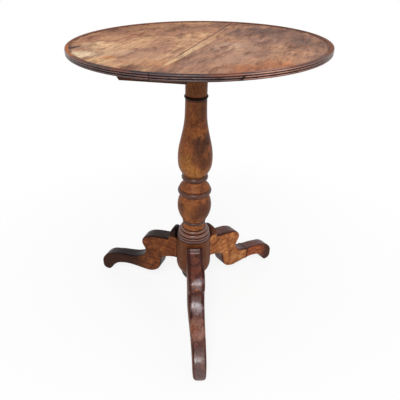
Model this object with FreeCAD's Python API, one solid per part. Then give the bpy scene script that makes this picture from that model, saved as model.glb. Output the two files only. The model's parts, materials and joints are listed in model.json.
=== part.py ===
import FreeCAD, Part
import math
import os

# Wine table: a round top that tilts on a block, a turned column and three scroll legs.
# Millimetres, +Z up. The origin is on the floor under the column, and the front leg points to -Y.
V = FreeCAD.Vector
UP = V(0, 0, 1)

# Whole table
table_height = 733.0
top_radius = 280.0
grain_turn = 23.0
overrun = 5.0

# Top boards: the lip and the reeds are worked in the boards themselves
board_thickness = 16.5
rim_height = 12.0
lip_height = 2.0
lip_width = 6.0
lip_hollow = 2.5
lip_hollow_share = 0.33
reed_count = 3
reed_depth = 1.7
bevel_width = 24.0
joint_front_offset = 15.0
joint_back_offset = 2.0
strip_front_width = 2.0
strip_back_width = 43.0

# Bearers: two bars across the boards, on either side of the block
bearer_length = 380.0
bearer_width = 34.0
bearer_height = 22.0
bearer_end_length = 26.0
bearer_end_height = 9.0
bearer_side_gap = 0.4

# Block on the column and its pivot rod
block_length = 112.0
block_width = 150.0
block_height = 30.0
block_rest_gap = 0.3
pivot_drop = 12.0
pivot_radius = 4.5
running_clearance = 0.06

# Cleat across the board joint, under the front edge, screwed on a little askew
cleat_length = 134.0
cleat_width = 30.0
cleat_height = 10.0
cleat_left_length = 82.0
cleat_inset = 40.0
cleat_end_bevel = 6.0
cleat_skew = 7.0

# Wood screws with slotted countersunk heads
screw_radius = 2.2
screw_head_radius = 4.4
screw_head_height = 2.8
screw_bite = 10.0
screw_slot_width = 0.9
screw_slot_depth = 1.1
small_screw_share = 0.6
fit_clearance = 0.1
bearer_screw_shares = (-0.88, -0.35, 0.62, 0.9)
cleat_screw_shares = (0.2, 0.8)

# Brass catch under the top: a bolt that slides into the end of the block
catch_plate_length = 44.0
catch_plate_width = 40.0
catch_plate_thickness = 2.0
catch_case_length = 26.0
catch_wall = 2.5
bolt_width = 11.0
bolt_height = 6.0
bolt_tail_spare = 2.0
bolt_travel = 9.0
bolt_rest_gap = 1.8
bolt_clearance = 0.25
bolt_socket_spare = 2.0
knob_radius = 5.0
knob_neck_radius = 2.0
knob_length = 11.0
strike_width = 30.0
strike_height = 18.0
strike_thickness = 2.0

# Column: heights of the turned parts, measured from the floor or from the block
barrel_bottom = 98.0
vase_bottom = 410.0
belly_radius = 43.7
neck_ring_height = 7.0
neck_length = 34.0
neck_radius = 25.7
neck_ring_radius = 28.2
cove_height = 28.0
collar_height = 8.5
collar_radius = 36.0
cove_middle_shares = (0.25, 0.7)
tenon_radius = 16.0
wedge_width = 3.0
wedge_taper_share = 0.45
wedge_depth = 24.0

# Pendant drop under the column
pendant_bottom = 60.0
pendant_radius = 34.0
pendant_neck_share = 0.96
pendant_flank_shares = (0.76, 0.27)
pendant_widest_share = 0.68
pendant_spigot_radius = 12.0
pendant_spigot_length = 20.0

# Legs: as on the old table, they aren't set quite evenly round the column
right_leg_angle = 123.6
left_leg_angle = 244.2
leg_reach = 316.0
knee_height = 191.0
leg_width = 46.0
toe_width = 33.0
leg_taper_start = 120.0
toe_corner_radius = 4.5
front_toe_corner_radius = 11.0
ear_dome_radius = 24.5
ear_crown = 232.0
leg_root_radius = 30.0
leg_tenon_width = 16.0
leg_tenon_height = 54.0
leg_tenon_bottom = 142.0
leg_tenon_inner = 20.0
leg_tenon_outer = 56.0
splice_radius = 200.0
splice_slant = 4.0
splice_dowel_radius = 5.0
splice_dowel_length = 44.0
splice_dowel_height = 73.0

# Outline of the turned parts below the vase: (share of the belly radius, share of the height between
# the barrel's bottom and the vase), one list for each moulding. Two points are a line, three an arc.
lower_turning_shares = (
    ((0.84, 0.0), (1.0, 0.034), (1.11, 0.11)),
    ((1.11, 0.11), (1.1, 0.18), (1.075, 0.27), (1.057, 0.38)),
    ((1.057, 0.38), (1.03, 0.3815)),
    ((1.03, 0.3815), (1.045, 0.391), (1.03, 0.4005)),
    ((1.03, 0.4005), (0.985, 0.402)),
    ((0.985, 0.402), (1.01, 0.411), (0.985, 0.42)),
    ((0.985, 0.42), (0.9, 0.4215)),
    ((0.9, 0.4215), (0.975, 0.4385), (0.9, 0.4555)),
    ((0.9, 0.4555), (0.77, 0.457)),
    ((0.77, 0.457), (0.84, 0.4705), (0.77, 0.484)),
    ((0.77, 0.484), (0.65, 0.492), (0.61, 0.512)),
    ((0.61, 0.512), (0.62, 0.537)),
    ((0.62, 0.537), (0.66, 0.538)),
    ((0.66, 0.538), (0.725, 0.5505), (0.66, 0.563)),
    ((0.66, 0.563), (0.64, 0.566)),
    ((0.64, 0.566), (0.74, 0.571)),
    ((0.74, 0.571), (0.87, 0.607), (0.988, 0.655), (1.028, 0.7), (0.99, 0.754), (0.9, 0.797), (0.83, 0.825)),
    ((0.83, 0.825), (0.9, 0.828)),
    ((0.9, 0.828), (1.012, 0.8495), (0.93, 0.871)),
    ((0.93, 0.871), (0.905, 0.873)),
    ((0.905, 0.873), (0.935, 0.877)),
    ((0.935, 0.877), (0.875, 0.894), (0.745, 0.915), (0.635, 0.935)),
    ((0.635, 0.935), (0.61, 0.943), (0.62, 0.953)),
    ((0.62, 0.953), (0.69, 0.956)),
    ((0.69, 0.956), (0.787, 0.977), (0.7, 0.997)),
    ((0.7, 0.997), (0.68, 1.0)),
)

# Outline of the vase: (share of the belly radius, share of the vase's length), from the bottom up
vase_shares = (
    (0.68, 0.0), (0.82, 0.048), (0.935, 0.105), (0.99, 0.17), (1.0, 0.245), (0.965, 0.345),
    (0.895, 0.43), (0.745, 0.575), (0.638, 0.715), (0.6, 0.84), (0.588, 1.0),
)

# Outline of a leg: (share of the leg's reach, share of the knee's height). The front leg's ear is cut down low,
# and its toe is worn rounder.
leg_ear_shares = (
    (0.149, 1.063), (0.1495, 1.13), (0.157, 1.19), (0.176, 1.213), (0.198, 1.18), (0.213, 1.11),
    (0.215, 1.025),
)
front_ear_shares = (
    (0.149, 1.063), (0.15, 1.079), (0.162, 1.086), (0.174, 1.077), (0.181, 1.047), (0.187, 1.019),
)
leg_top_shares = (
    (0.219, 1.01), (0.28, 0.998), (0.345, 0.985), (0.408, 0.965), (0.462, 0.927), (0.497, 0.873),
    (0.506, 0.812), (0.493, 0.755), (0.473, 0.703), (0.467, 0.65), (0.48, 0.6), (0.512, 0.542),
    (0.56, 0.493), (0.62, 0.458), (0.7, 0.435), (0.78, 0.414), (0.853, 0.38), (0.915, 0.333),
    (0.959, 0.273), (0.989, 0.195), (1.0, 0.112), (0.992, 0.04), (0.967, 0.0),
)
leg_underside_shares = (
    (0.921, 0.0), (0.904, 0.022), (0.887, 0.057), (0.869, 0.098), (0.848, 0.14), (0.819, 0.179), (0.777, 0.214),
    (0.726, 0.241), (0.653, 0.261), (0.573, 0.265), (0.478, 0.262), (0.43, 0.27), (0.388, 0.294),
    (0.35, 0.338), (0.321, 0.408), (0.309, 0.506), (0.291, 0.608), (0.238, 0.662), (0.127, 0.71),
)

# Heights and places that follow from the sizes above
underside = table_height - board_thickness
dish_height = table_height - lip_height
rim_bottom = table_height - rim_height
block_top = underside - block_rest_gap
block_bottom = block_top - block_height
pivot_height = underside - pivot_drop
nose_radius = pivot_drop - block_rest_gap
pivot_offset = block_width / 2 - nose_radius
bearer_offset = block_length / 2 + bearer_side_gap + bearer_width / 2
collar_bottom = block_bottom - collar_height
cove_bottom = collar_bottom - cove_height
neck_bottom = cove_bottom - neck_length
vase_top = neck_bottom - neck_ring_height
strike_face = -block_width / 2 - strike_thickness
bolt_top = underside - catch_plate_thickness - catch_wall
bolt_nose = strike_face - bolt_rest_gap
case_front = bolt_nose - bolt_travel
bolt_tail_length = 2 * knob_radius + bolt_travel + bolt_tail_spare


def box(low, high):
    size = high - low
    return Part.makeBox(size.x, size.y, size.z, low)


def rod(radius, start, end):
    along = end - start
    return Part.makeCylinder(radius, along.Length, start, along)


def outline_edge(points):
    if len(points) == 2:
        return Part.LineSegment(*points).toShape()
    if len(points) == 3:
        return Part.Arc(*points).toShape()
    curve = Part.BSplineCurve()
    curve.interpolate(list(points))
    return curve.toShape()


def spin(edges):
    """Turns an outline that starts and ends on the Z axis into a solid."""
    return Part.Face(Part.Wire(edges)).revolve(V(0, 0, 0), UP, 360)


def prism(points, along):
    return Part.Face(Part.makePolygon(list(points) + [points[0]])).extrude(along)


def to_grain(shape):
    """Turns a piece of the top from its own frame, with the boards along Y, into the table's frame."""
    shape.rotate(V(0, 0, 0), UP, -grain_turn)
    return shape


def screw(head, along, scale=1.0, bite=screw_bite, grip=0.0, spare=0.0):
    """A countersunk screw whose head is flush at the point head; spare makes its clearance hole."""
    shank = screw_radius * scale + spare
    crown = screw_head_radius * scale + spare
    sink = screw_head_height * scale
    length = grip + bite + spare
    points = (V(0, 0, 0), V(crown, 0, 0), V(shank, 0, sink), V(shank, 0, length), V(0, 0, length))
    solid = spin([Part.LineSegment(a, b).toShape() for a, b in zip(points, points[1:] + points[:1])])
    if not spare:
        reach = crown + overrun
        half_slot = screw_slot_width * scale / 2
        depth = screw_slot_depth * scale
        solid = solid.cut(box(V(-reach, -half_slot, -overrun), V(reach, half_slot, depth)))
    solid.Placement = FreeCAD.Placement(head, FreeCAD.Rotation(UP, along))
    return solid


def save(name, shape):
    shape.exportStep("parts/" + name + ".step")


# Round top, before it is divided into boards
def top_disc():
    reed_height = rim_height / reed_count
    reed_root = top_radius - reed_depth
    lip_outer = reed_root
    lip_inner = lip_outer - lip_width
    dish_edge = lip_inner - lip_hollow
    points = [V(0, 0, underside), V(reed_root - bevel_width, 0, underside), V(reed_root, 0, rim_bottom)]
    edges = [Part.LineSegment(a, b).toShape() for a, b in zip(points, points[1:])]
    for reed in range(reed_count):
        low = rim_bottom + reed * reed_height
        crown = V(top_radius, 0, low + reed_height / 2)
        edges.append(Part.Arc(V(reed_root, 0, low), crown, V(reed_root, 0, low + reed_height)).toShape())
    lip_middle = V((lip_inner + dish_edge) / 2, 0, dish_height + lip_height * lip_hollow_share)
    edges.append(Part.LineSegment(V(reed_root, 0, table_height), V(lip_inner, 0, table_height)).toShape())
    edges.append(Part.Arc(V(lip_inner, 0, table_height), lip_middle, V(dish_edge, 0, dish_height)).toShape())
    edges.append(Part.LineSegment(V(dish_edge, 0, dish_height), V(0, 0, dish_height)).toShape())
    edges.append(Part.LineSegment(V(0, 0, dish_height), V(0, 0, underside)).toShape())
    return spin(edges)


def top_boards():
    """Two boards with a wedge-shaped strip between them, narrow at the front."""
    reach = top_radius + overrun
    left_front = V(joint_front_offset, -reach, underside - overrun)
    left_back = V(joint_back_offset, reach, underside - overrun)
    right_front = left_front + V(strip_front_width, 0, 0)
    right_back = left_back + V(strip_back_width, 0, 0)
    height = V(0, 0, board_thickness + 2 * overrun)
    far_left = V(-2 * reach, 0, 0)
    far_right = V(2 * reach, 0, 0)
    disc = top_disc()
    return {
        "top_board_left": disc.common(
            prism((left_front, left_back, left_back + far_left, left_front + far_left), height)),
        "top_strip": disc.common(prism((left_front, right_front, right_back, left_back), height)),
        "top_board_right": disc.common(
            prism((right_front, right_front + far_right, right_back + far_right, right_back), height)),
    }


# Bearers and cleat under the top
def bearer(side):
    half = bearer_length / 2
    low = underside - bearer_height
    tip = underside - bearer_end_height
    shoulder = half - bearer_end_length
    near = side * bearer_offset - bearer_width / 2
    points = (
        V(-half, near, underside), V(-half, near, tip), V(-shoulder, near, low),
        V(shoulder, near, low), V(half, near, tip), V(half, near, underside),
    )
    bar = prism(points, V(0, bearer_width, 0))
    reach = V(0, bearer_width / 2 + overrun, 0)
    pivot = V(pivot_offset, side * bearer_offset, pivot_height)
    return bar.cut(rod(pivot_radius + running_clearance, pivot - reach, pivot + reach))


def bearer_screw_places(side):
    shoulder = bearer_length / 2 - bearer_end_length
    level = underside - bearer_height
    return [V(share * shoulder, side * bearer_offset, level) for share in bearer_screw_shares]


def cleat_place(along_share, across_share, level):
    """A point of the cleat, given as shares of its length and of its width."""
    left = joint_front_offset - cleat_left_length
    front = -top_radius + cleat_inset
    middle = V(left + cleat_length / 2, front + cleat_width / 2, 0)
    point = V(left + along_share * cleat_length, front + across_share * cleat_width, level)
    return middle + FreeCAD.Rotation(UP, cleat_skew).multVec(point - middle)


def cleat():
    bevel_share = cleat_end_bevel / cleat_length
    low = underside - cleat_height
    points = (cleat_place(0, 0, underside), cleat_place(bevel_share, 0, low),
              cleat_place(1 - bevel_share, 0, low), cleat_place(1, 0, underside))
    return prism(points, cleat_place(0, 1, underside) - cleat_place(0, 0, underside))


def cleat_screw_places():
    middle_share = 0.5
    return [cleat_place(share, middle_share, underside - cleat_height) for share in cleat_screw_shares]


# Block, pivot rod and wedge
def tilt_block():
    half = block_width / 2
    near = -block_length / 2
    turn = nose_radius * math.sqrt(0.5)
    nose_middle = V(pivot_offset + turn, near, pivot_height + turn)
    nose_end = V(half, near, pivot_height)
    corners = (nose_end, V(half, near, block_bottom), V(-half, near, block_bottom), V(-half, near, block_top),
               V(pivot_offset, near, block_top))
    edges = [Part.LineSegment(a, b).toShape() for a, b in zip(corners, corners[1:])]
    edges.append(Part.Arc(corners[-1], nose_middle, nose_end).toShape())
    solid = Part.Face(Part.Wire(edges)).extrude(V(0, block_length, 0))
    reach = V(0, block_length / 2 + overrun, 0)
    pivot = V(pivot_offset, 0, pivot_height)
    solid = solid.cut(rod(pivot_radius + running_clearance, pivot - reach, pivot + reach))
    bore = rod(tenon_radius + fit_clearance, V(0, 0, block_bottom - overrun), V(0, 0, block_top + overrun))
    return solid.cut(bore).cut(bolt_hole(bolt_travel - bolt_rest_gap - strike_thickness + bolt_socket_spare))


def pivot_rod():
    reach = V(0, bearer_offset + bearer_width / 2, 0)
    pivot = V(pivot_offset, 0, pivot_height)
    return rod(pivot_radius, pivot - reach, pivot + reach)


def tenon_wedge(spare=0.0):
    """Slip driven into the saw cut of the column's tenon; spare makes the cut."""
    half_top = wedge_width / 2 + spare
    half_low = half_top * wedge_taper_share
    low = block_top - wedge_depth - spare
    reach = tenon_radius + fit_clearance + spare
    points = (V(-half_top, -reach, block_top), V(-half_low, -reach, low), V(half_low, -reach, low),
              V(half_top, -reach, block_top))
    return prism(points, V(0, 2 * reach, 0)).common(
        rod(tenon_radius + spare, V(0, 0, low - overrun), V(0, 0, block_top)))


# Catch: plate and case, bolt, knob and strike
def bolt_hole(depth):
    """The hole for the bolt through the strike and into the block, as deep as given behind the strike."""
    half = bolt_width / 2 + bolt_clearance
    low = V(strike_face - overrun, -half, bolt_top - bolt_height - bolt_clearance)
    return box(low, V(-block_width / 2 + depth, half, bolt_top + bolt_clearance))


def catch_bolt():
    length = bolt_travel + catch_case_length + bolt_tail_length
    low = V(bolt_nose - length, -bolt_width / 2, bolt_top - bolt_height)
    bar = box(low, V(bolt_nose, bolt_width / 2, bolt_top))
    through = V(0, 0, bolt_height)
    return bar.cut(rod(knob_neck_radius + running_clearance, knob_place(), knob_place() + through))


def knob_place():
    tail_end = case_front - catch_case_length - bolt_tail_length
    return V(tail_end + knob_radius, 0, bolt_top - bolt_height)


def catch_knob():
    """A small turned knob riveted through the tail of the bolt."""
    ball = V(0, 0, knob_radius - knob_length)
    turn = knob_radius * math.sqrt(0.5)
    shoulder = ball + V(turn, 0, turn)
    flange = V((knob_neck_radius + shoulder.x) / 2, 0, 0)
    rivet = V(knob_neck_radius, 0, 0)
    edges = [
        outline_edge((V(0, 0, bolt_height), rivet + V(0, 0, bolt_height))),
        outline_edge((rivet + V(0, 0, bolt_height), rivet)),
        outline_edge((rivet, flange)),
        outline_edge((flange, V(knob_neck_radius, 0, shoulder.z / 2), shoulder)),
        outline_edge((shoulder, ball + V(knob_radius, 0, 0), V(0, 0, -knob_length))),
        outline_edge((V(0, 0, -knob_length), V(0, 0, bolt_height))),
    ]
    knob = spin(edges)
    knob.translate(knob_place())
    return knob


def catch_plate():
    half_plate = catch_plate_width / 2
    margin = (catch_plate_length - catch_case_length) / 2
    plate_low = V(case_front - catch_case_length - margin, -half_plate, underside - catch_plate_thickness)
    plate = box(plate_low, V(case_front + margin, half_plate, underside))
    half_slot = bolt_width / 2 + bolt_clearance
    half_case = half_slot + catch_wall
    slot_low = bolt_top - bolt_height - bolt_clearance
    case = box(V(case_front - catch_case_length, -half_case, slot_low - catch_wall),
               V(case_front, half_case, underside - catch_plate_thickness))
    slot = box(V(case_front - catch_case_length - overrun, -half_slot, slot_low),
               V(case_front + overrun, half_slot, bolt_top + bolt_clearance))
    return plate.fuse(case).cut(slot).removeSplitter()


def catch_screw_places():
    margin = (catch_plate_length - catch_case_length) / 2
    reach_x = catch_case_length / 2 + margin / 2
    reach_y = (bolt_width / 2 + bolt_clearance + catch_wall + catch_plate_width / 2) / 2
    middle = case_front - catch_case_length / 2
    level = underside - catch_plate_thickness
    return [V(middle + x * reach_x, y * reach_y, level) for x in (-1, 1) for y in (-1, 1)]


def strike_plate():
    middle = bolt_top - bolt_height / 2
    top = min(middle + strike_height / 2, block_top)
    low = V(strike_face, -strike_width / 2, top - strike_height)
    plate = box(low, V(strike_face + strike_thickness, strike_width / 2, top))
    return plate.cut(bolt_hole(overrun))


def strike_screw_places():
    reach = (bolt_width / 2 + strike_width / 2) / 2
    return [V(strike_face, side * reach, bolt_top - bolt_height / 2) for side in (-1, 1)]


# Column and pendant
def lower_turning(share):
    radius_share, height_share = share
    return V(belly_radius * radius_share, 0, barrel_bottom + (vase_bottom - barrel_bottom) * height_share)


def column():
    """The whole turning, without the leg mortises."""
    edges = [outline_edge((V(0, 0, barrel_bottom), lower_turning(lower_turning_shares[0][0])))]
    for moulding in lower_turning_shares:
        edges.append(outline_edge([lower_turning(share) for share in moulding]))
    vase_length = vase_top - vase_bottom
    vase = [V(belly_radius * r, 0, vase_bottom + vase_length * h) for r, h in vase_shares[:-1]]
    vase.append(V(neck_radius, 0, vase_top))
    edges.append(outline_edge(vase))
    ring = V(neck_ring_radius, 0, vase_top + neck_ring_height / 2)
    edges.append(outline_edge((vase[-1], ring, V(neck_radius, 0, neck_bottom))))
    out_share, up_share = cove_middle_shares
    flare = collar_radius - neck_radius
    cove_middle = V(neck_radius + flare * out_share, 0, cove_bottom + cove_height * up_share)
    corners = (V(collar_radius, 0, collar_bottom), V(collar_radius, 0, block_bottom),
               V(tenon_radius, 0, block_bottom), V(tenon_radius, 0, block_top), V(0, 0, block_top))
    edges.append(outline_edge((V(neck_radius, 0, neck_bottom), V(neck_radius, 0, cove_bottom))))
    edges.append(outline_edge((V(neck_radius, 0, cove_bottom), cove_middle, corners[0])))
    edges += [outline_edge(pair) for pair in zip(corners, corners[1:])]
    edges.append(outline_edge((corners[-1], V(0, 0, barrel_bottom))))
    return spin(edges)


def pendant():
    drop = barrel_bottom - pendant_bottom
    out_share, up_share = pendant_flank_shares
    neck = V(pendant_radius * pendant_neck_share, 0, barrel_bottom)
    widest = V(pendant_radius, 0, pendant_bottom + drop * pendant_widest_share)
    flank = V(pendant_radius * out_share, 0, pendant_bottom + drop * up_share)
    spigot_top = barrel_bottom + pendant_spigot_length
    edges = [
        outline_edge((V(0, 0, pendant_bottom), flank, widest)),
        outline_edge((widest, neck)),
        outline_edge((neck, V(pendant_spigot_radius, 0, barrel_bottom))),
        outline_edge((V(pendant_spigot_radius, 0, barrel_bottom), V(pendant_spigot_radius, 0, spigot_top))),
        outline_edge((V(pendant_spigot_radius, 0, spigot_top), V(0, 0, spigot_top))),
        outline_edge((V(0, 0, spigot_top), V(0, 0, pendant_bottom))),
    ]
    return spin(edges)


# Legs, made pointing to -Y and then turned round the column
def leg_point(share):
    return V(0, -leg_reach * share[0], knee_height * share[1])


def leg_blank(ear_shares, toe_corner):
    ear = [leg_point(share) for share in ear_shares]
    top = [leg_point(share) for share in leg_top_shares]
    under = [leg_point(share) for share in leg_underside_shares]
    root_top = V(0, -leg_root_radius, ear[0].z)
    root_low = V(0, -leg_root_radius, under[-1].z)
    edges = [outline_edge(pair) for pair in ((root_top, ear[0]), (ear[-1], top[0]), (top[-1], under[0]),
                                             (under[-1], root_low), (root_low, root_top))]
    edges += [outline_edge(points) for points in (ear, top, under)]
    outline = Part.Face(Part.Wire(Part.__sortEdges__(edges)))
    outline.translate(V(-leg_width / 2, 0, 0))
    solid = outline.extrude(V(leg_width, 0, 0))
    return solid.common(leg_plan(solid.BoundBox, toe_corner)).common(ear_dome(solid.BoundBox))


def leg_plan(around, corner):
    """The leg seen from above: straight beside the column, then narrowing to a rounded toe."""
    half = leg_width / 2
    toe = toe_width / 2
    low = around.ZMin - overrun
    end = -leg_reach - running_clearance
    bend = corner * (1 - math.sqrt(0.5))
    left = (V(-half, 0, low), V(-half, -leg_taper_start, low), V(-toe, end + corner, low))
    right = (V(toe, end + corner, low), V(half, -leg_taper_start, low), V(half, 0, low))
    tips = (V(corner - toe, end, low), V(toe - corner, end, low))
    edges = [outline_edge(pair) for pair in zip(left, left[1:])]
    edges.append(outline_edge((left[-1], V(bend - toe, end + bend, low), tips[0])))
    edges.append(outline_edge(tips))
    edges.append(outline_edge((tips[1], V(toe - bend, end + bend, low), right[0])))
    edges += [outline_edge(pair) for pair in zip(right, right[1:])]
    edges.append(outline_edge((right[-1], left[0])))
    return Part.Face(Part.Wire(edges)).extrude(V(0, 0, around.ZLength + 2 * overrun))


def ear_dome(around):
    """The leg seen from its end: straight sides, with a round crown over the ear."""
    centre = ear_crown - ear_dome_radius
    near = around.YMin - overrun
    far = around.YMax + overrun
    sides = box(V(-ear_dome_radius, near, around.ZMin - overrun), V(ear_dome_radius, far, centre))
    return sides.fuse(rod(ear_dome_radius, V(0, near, centre), V(0, far, centre)))


def leg_tenon(spare=0.0):
    """The tongue in the column's barrel; spare makes its mortise."""
    half = leg_tenon_width / 2 + spare
    low = V(-half, -leg_tenon_outer - spare, leg_tenon_bottom - spare)
    high = V(half, -leg_tenon_inner + spare, leg_tenon_bottom + leg_tenon_height + spare)
    return box(low, high)


def turned(shape, turn):
    shape.rotate(V(0, 0, 0), UP, turn)
    return shape


def splice_side():
    """The space beyond the slanting scarf where the right foot was renewed."""
    reach = leg_width
    high = knee_height + overrun
    near = V(-reach, -splice_radius + splice_slant, -overrun)
    far = V(-reach, -splice_radius - splice_slant, high)
    end = -leg_reach - overrun
    points = (near, far, V(-reach, end, high), V(-reach, end, -overrun))
    return prism(points, V(2 * reach, 0, 0))


def splice_dowel(spare=0.0):
    half = splice_dowel_length / 2 + spare
    middle = V(0, -splice_radius, splice_dowel_height)
    return rod(splice_dowel_radius + spare, middle + V(0, half, 0), middle - V(0, half, 0))


def build():
    os.makedirs("parts", exist_ok=True)
    boards = top_boards()
    bearers = {"bearer_front": bearer(-1), "bearer_back": bearer(1)}
    joint_cleat = cleat()
    bearer_screws = []
    for name, side in (("bearer_front", -1), ("bearer_back", 1)):
        for place in bearer_screw_places(side):
            hole = screw(place, UP, grip=bearer_height, spare=fit_clearance)
            bearers[name] = bearers[name].cut(hole)
            boards = {board: shape.cut(hole) for board, shape in boards.items()}
            bearer_screws.append(screw(place, UP, grip=bearer_height))
    cleat_screws = []
    for place in cleat_screw_places():
        hole = screw(place, UP, grip=cleat_height, spare=fit_clearance)
        joint_cleat = joint_cleat.cut(hole)
        boards = {board: shape.cut(hole) for board, shape in boards.items()}
        cleat_screws.append(screw(place, UP, grip=cleat_height))
    plate = catch_plate()
    catch_screws = []
    for place in catch_screw_places():
        bite = screw_bite * small_screw_share
        fit = {"scale": small_screw_share, "grip": catch_plate_thickness, "bite": bite}
        hole = screw(place, UP, spare=fit_clearance, **fit)
        plate = plate.cut(hole)
        boards = {board: shape.cut(hole) for board, shape in boards.items()}
        catch_screws.append(screw(place, UP, **fit))
    block = tilt_block()
    strike = strike_plate()
    strike_screws = []
    for place in strike_screw_places():
        fit = {"scale": small_screw_share, "grip": strike_thickness}
        hole = screw(place, V(1, 0, 0), spare=fit_clearance, **fit)
        strike = strike.cut(hole)
        block = block.cut(hole)
        strike_screws.append(screw(place, V(1, 0, 0), **fit))

    top_pieces = dict(boards)
    top_pieces.update(bearers)
    top_pieces.update({
        "bearer_screws": Part.makeCompound(bearer_screws), "joint_cleat": joint_cleat,
        "cleat_screws": Part.makeCompound(cleat_screws), "catch_plate": plate,
        "catch_screws": Part.makeCompound(catch_screws),
        "catch_bolt": catch_bolt(), "catch_knob": catch_knob(),
        "tilt_block": block, "pivot_rod": pivot_rod(), "tenon_wedge": tenon_wedge(), "strike_plate": strike,
        "strike_screws": Part.makeCompound(strike_screws),
    })
    for name, shape in top_pieces.items():
        save(name, to_grain(shape))

    turning = column()
    post = turning.cut(to_grain(tenon_wedge(fit_clearance)))
    bore_top = barrel_bottom + pendant_spigot_length + fit_clearance
    bore_radius = pendant_spigot_radius + fit_clearance
    post = post.cut(rod(bore_radius, V(0, 0, barrel_bottom - overrun), V(0, 0, bore_top)))
    leg, front_leg = (leg_blank(ear_shares, toe_corner).cut(turning).fuse(leg_tenon()).removeSplitter()
                      for ear_shares, toe_corner in ((leg_ear_shares, toe_corner_radius),
                                                     (front_ear_shares, front_toe_corner_radius)))
    for turn in (0, right_leg_angle, left_leg_angle):
        post = post.cut(turned(leg_tenon(fit_clearance), turn))
    right_foot = leg.common(splice_side()).cut(splice_dowel(fit_clearance))
    right_leg = leg.cut(splice_side()).cut(splice_dowel(fit_clearance))
    save("column", post)
    save("pendant", pendant())
    save("leg_front", front_leg)
    save("leg_right", turned(right_leg, right_leg_angle))
    save("right_foot_splice", turned(right_foot, right_leg_angle))
    save("splice_dowel", turned(splice_dowel(), right_leg_angle))
    save("leg_left", turned(leg, left_leg_angle))


build()
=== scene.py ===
import json
import math

import bmesh
import bpy
import numpy as np
from mathutils import Matrix, Vector


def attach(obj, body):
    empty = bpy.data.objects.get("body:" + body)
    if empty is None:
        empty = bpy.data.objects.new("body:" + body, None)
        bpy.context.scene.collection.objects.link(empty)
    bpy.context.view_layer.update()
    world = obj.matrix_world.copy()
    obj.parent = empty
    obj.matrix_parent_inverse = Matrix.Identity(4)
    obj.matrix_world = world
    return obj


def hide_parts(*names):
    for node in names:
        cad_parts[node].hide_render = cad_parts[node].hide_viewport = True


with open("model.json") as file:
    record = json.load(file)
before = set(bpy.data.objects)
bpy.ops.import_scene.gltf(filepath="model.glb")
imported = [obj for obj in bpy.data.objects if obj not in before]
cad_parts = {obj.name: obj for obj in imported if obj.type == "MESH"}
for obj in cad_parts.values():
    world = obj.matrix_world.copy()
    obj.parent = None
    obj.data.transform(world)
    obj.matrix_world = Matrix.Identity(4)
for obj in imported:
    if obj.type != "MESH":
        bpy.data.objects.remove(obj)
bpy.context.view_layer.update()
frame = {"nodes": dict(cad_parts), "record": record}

# Wine table: the finishes and the worn shapes of the old walnut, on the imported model. Metres, +Z up.
MM = 0.001
RIGHT = Vector((1, 0, 0))
UP = Vector((0, 0, 1))
scene = bpy.context.scene
nodes = frame["nodes"]
record = frame["record"]
body_of = {node: body for body, members in record["behaviour"]["bodies"].items() for node in members}
slot_of = {part["node"]: part["material_slot"] for part in record["subparts"]}
# The finish of each material slot
finishes = {}

# Places that the finishes and the worn shapes need, from the part's own sizes
dish_edge = 269.8 * MM
lip_inner = 272.3 * MM
reed_root = 277.6 * MM
rim_radius = 280.0 * MM
dish_height = 731.0 * MM
rim_bottom = 721.0 * MM
lip_height = 733.0 * MM
reed_pitch = 4.0 * MM
barrel_radius = 48.5 * MM
ear_height = 203.0 * MM
joint_middle = 8.5 * MM
joint_slope = -13 / 570
strip_middle = 31.0 * MM
strip_slope = 28 / 570
scarf_radius = 200.0 * MM
scarf_height = 95.0 * MM
scarf_slope = 8 / 201

grain_turn = math.radians(23.0)
board_along = Vector((math.sin(grain_turn), math.cos(grain_turn), 0))
board_across = Vector((math.cos(grain_turn), -math.sin(grain_turn), 0))
leg_angles = {"front": 0.0, "right": math.radians(123.6), "left": math.radians(244.2)}
leg_out = {leg: Vector((math.sin(angle), -math.cos(angle), 0)) for leg, angle in leg_angles.items()}
leg_side = {leg: Vector((math.cos(angle), math.sin(angle), 0)) for leg, angle in leg_angles.items()}


# Shader helpers
def paint(code):
    """An sRGB hex colour as linear RGBA."""
    channels = [int(code[at:at + 2], 16) / 255 for at in (0, 2, 4)]
    linear = [c / 12.92 if c <= 0.04045 else ((c + 0.055) / 1.055) ** 2.4 for c in channels]
    return (*linear, 1.0)


def put(tree, kind, inputs=None, stops=None, **settings):
    """Adds a shader node with its settings, its colour stops, and values or links for its inputs."""
    node = tree.nodes.new("ShaderNode" + kind)
    for name, value in settings.items():
        setattr(node, name, value)
    if stops:
        ramp = node.color_ramp
        while len(ramp.elements) < len(stops):
            ramp.elements.new(0.5)
        for element, (position, code) in zip(ramp.elements, stops):
            element.position = position
            element.color = paint(code)
    for key, value in (inputs or {}).items():
        if isinstance(value, bpy.types.Node):
            value = value.outputs[0]
        if isinstance(value, bpy.types.NodeSocket):
            tree.links.new(value, node.inputs[key])
        else:
            node.inputs[key].default_value = value
    return node


def per(size_mm):
    """The scale of a noise whose patches are about size_mm wide."""
    return 1 / (size_mm * MM)


# Shared by all wood. Real pores are about 0.2 mm wide, too fine to show, so they are drawn coarser.
pore_mm = 0.9
pore_stretch = 11
pore_limits = (0.57, 0.68)
pore_roughness = 0.1
ring_stretch = 12
figure_limits = (0.5, 0.68)
figure_shade = "a07f6c"
figure_light = "8a7b6e"
figure_finer = 0.85
stain_fray = 2.2
stain_fade = 0.8


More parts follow.
